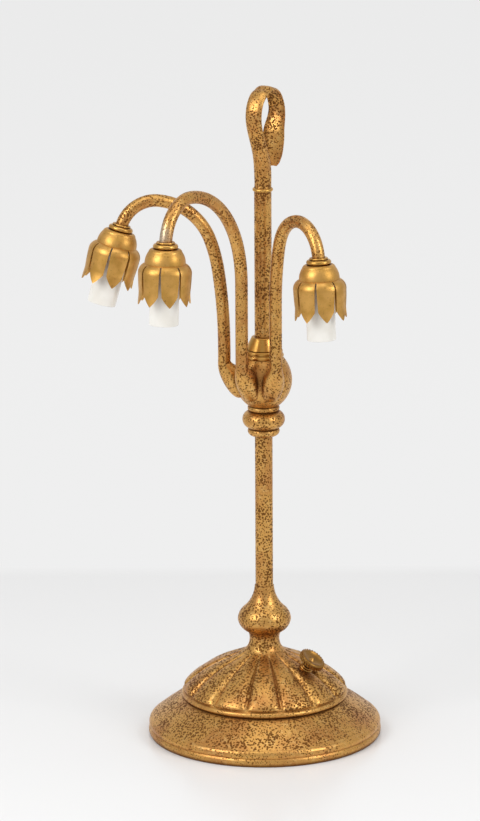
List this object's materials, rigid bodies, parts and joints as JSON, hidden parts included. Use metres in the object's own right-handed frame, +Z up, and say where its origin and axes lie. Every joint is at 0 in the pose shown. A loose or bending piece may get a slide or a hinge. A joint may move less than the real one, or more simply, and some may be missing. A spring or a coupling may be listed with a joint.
{
  "type": "three-light table lamp",
  "caption": "Gilt metal table lamp with a lobed dome base, a turned column, tall arching arms with petal shade holders over white sockets, and a loop handle on top.",
  "frame": {"origin": "centre of the foot's underside, on the axis of the column and stem, where the lamp meets the table", "axes": "+Z up along the column; -Y towards the front, where the middle arm hangs; +X to the lamp's right as its front is faced, where the switch is"},
  "size_m": [0.2089, 0.2517, 0.5188],
  "materials": {
    "etched_gilt": "warm gilt over bronze, etched with dense dark specks, satin",
    "satin_gilt": "warm gilt, smooth satin",
    "dark_brass": "aged brass, satin",
    "plain_brass": "plain drawn brass",
    "plated_steel": "zinc plated",
    "green_felt": "matt felt",
    "white_porcelain": "white glaze",
    "black_phenolic": "moulded phenolic",
    "cap_plastic": "moulded cap",
    "lead_insulation": "lead insulation"
  },
  "bodies": {
    "switch": {"switch_knob": "dark_brass", "switch_shaft": "plated_steel"},
    "lamp": {"arm_lead_left": "lead_insulation", "arm_lead_middle": "lead_insulation", "arm_lead_right": "lead_insulation", "arm_left": "etched_gilt", "arm_middle": "etched_gilt", "arm_right": "etched_gilt", "baluster": "etched_gilt", "base_nut": "plated_steel", "base_washer": "plated_steel", "bottom_plate": "plated_steel", "collar_left": "satin_gilt", "collar_middle": "satin_gilt", "collar_right": "satin_gilt", "column": "etched_gilt", "contact_left": "plain_brass", "contact_middle": "plain_brass", "contact_right": "plain_brass", "cord_bush": "dark_brass", "dome": "etched_gilt", "feed_lead": "lead_insulation", "felt_pad": "green_felt", "foot": "etched_gilt", "hub": "etched_gilt", "hub_cap": "satin_gilt", "hub_nut": "plain_brass", "knuckle": "etched_gilt", "lock_nut_left": "plain_brass", "lock_nut_middle": "plain_brass", "lock_nut_right": "plain_brass", "loop": "etched_gilt", "nipple_left": "plain_brass", "nipple_middle": "plain_brass", "nipple_right": "plain_brass", "plate_screws": "plated_steel", "screw_shell_left": "plain_brass", "screw_shell_middle": "plain_brass", "screw_shell_right": "plain_brass", "shade_holder_left": "satin_gilt", "shade_holder_middle": "satin_gilt", "shade_holder_right": "satin_gilt", "socket_left": "white_porcelain", "socket_middle": "white_porcelain", "socket_right": "white_porcelain", "splice_cap": "cap_plastic", "stem": "etched_gilt", "stem_plug": "plain_brass", "stem_ring": "satin_gilt", "switch_body": "black_phenolic", "switch_ferrule": "satin_gilt", "switch_nut": "plain_brass", "tie_pipe": "plated_steel"}
  },
  "joints": [
    {"name": "switch_turn", "type": "hinge", "parent": "lamp", "child": "switch", "pos_m": [0.0376, 0, 0.05809], "axis": [0.5878, 0, 0.809], "continuous": true}
  ]
}
